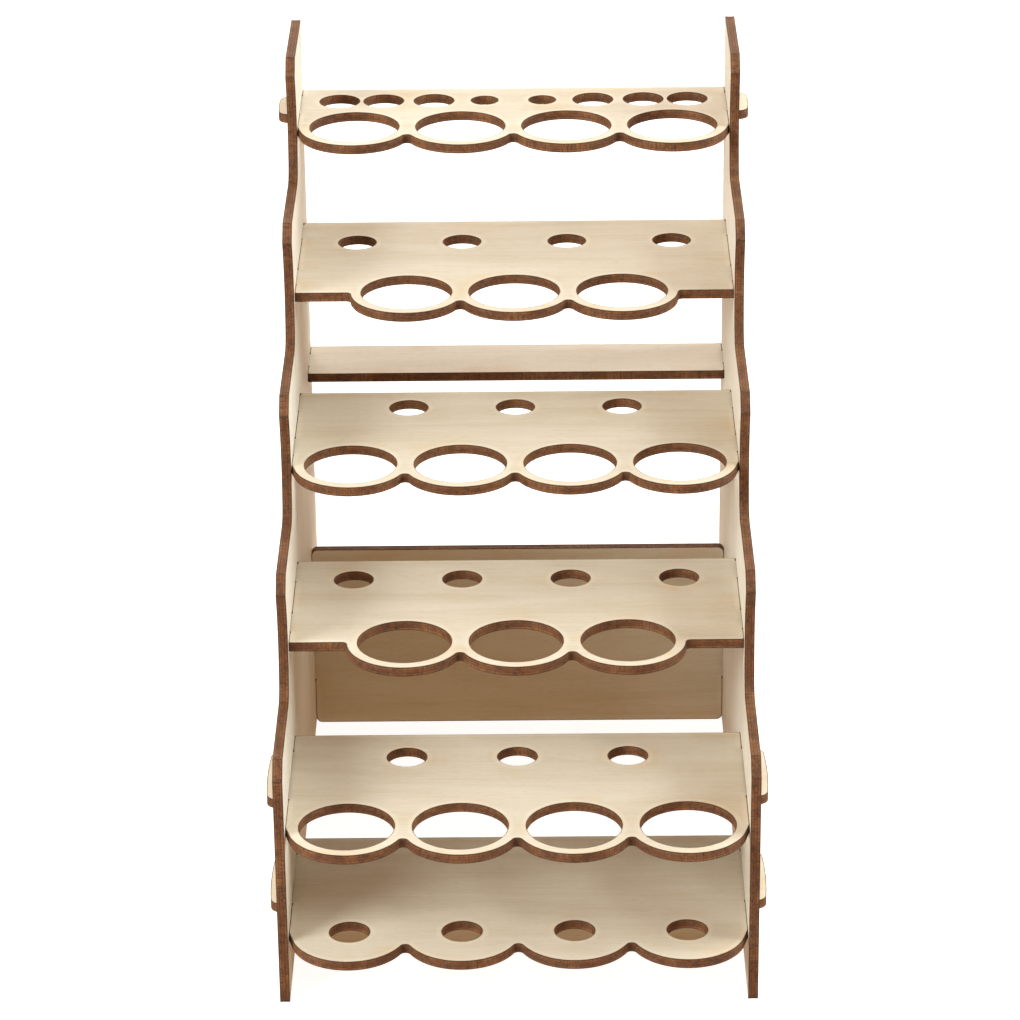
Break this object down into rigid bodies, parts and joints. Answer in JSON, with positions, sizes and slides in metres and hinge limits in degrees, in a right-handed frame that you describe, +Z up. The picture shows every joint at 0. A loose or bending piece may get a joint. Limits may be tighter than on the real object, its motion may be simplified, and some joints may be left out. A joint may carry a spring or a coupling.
{
  "type": "paint rack organizer",
  "caption": "Stepped plywood rack that holds paint bottles nozzle down in rows of round holes, with a row of tool holes at the back of its top shelf.",
  "frame": {"origin": "on the table under the middle of the rack, the bottom centre of its bounding box", "axes": "+X across the rack to the right, +Y from the stepped front to the back, +Z up"},
  "size_m": [0.1416, 0.2146, 0.2216],
  "materials": {
    "laser_cut_plywood": "bare light veneer, dark brown laser-cut edges"
  },
  "bodies": {
    "root": {"shelf_1_base": "laser_cut_plywood", "shelf_2": "laser_cut_plywood", "shelf_3": "laser_cut_plywood", "shelf_4": "laser_cut_plywood", "shelf_5": "laser_cut_plywood", "shelf_6_top": "laser_cut_plywood", "rear_rail": "laser_cut_plywood", "back_board": "laser_cut_plywood", "base_brace": "laser_cut_plywood", "side_panel_left": "laser_cut_plywood", "side_panel_right": "laser_cut_plywood"}
  },
  "joints": []
}
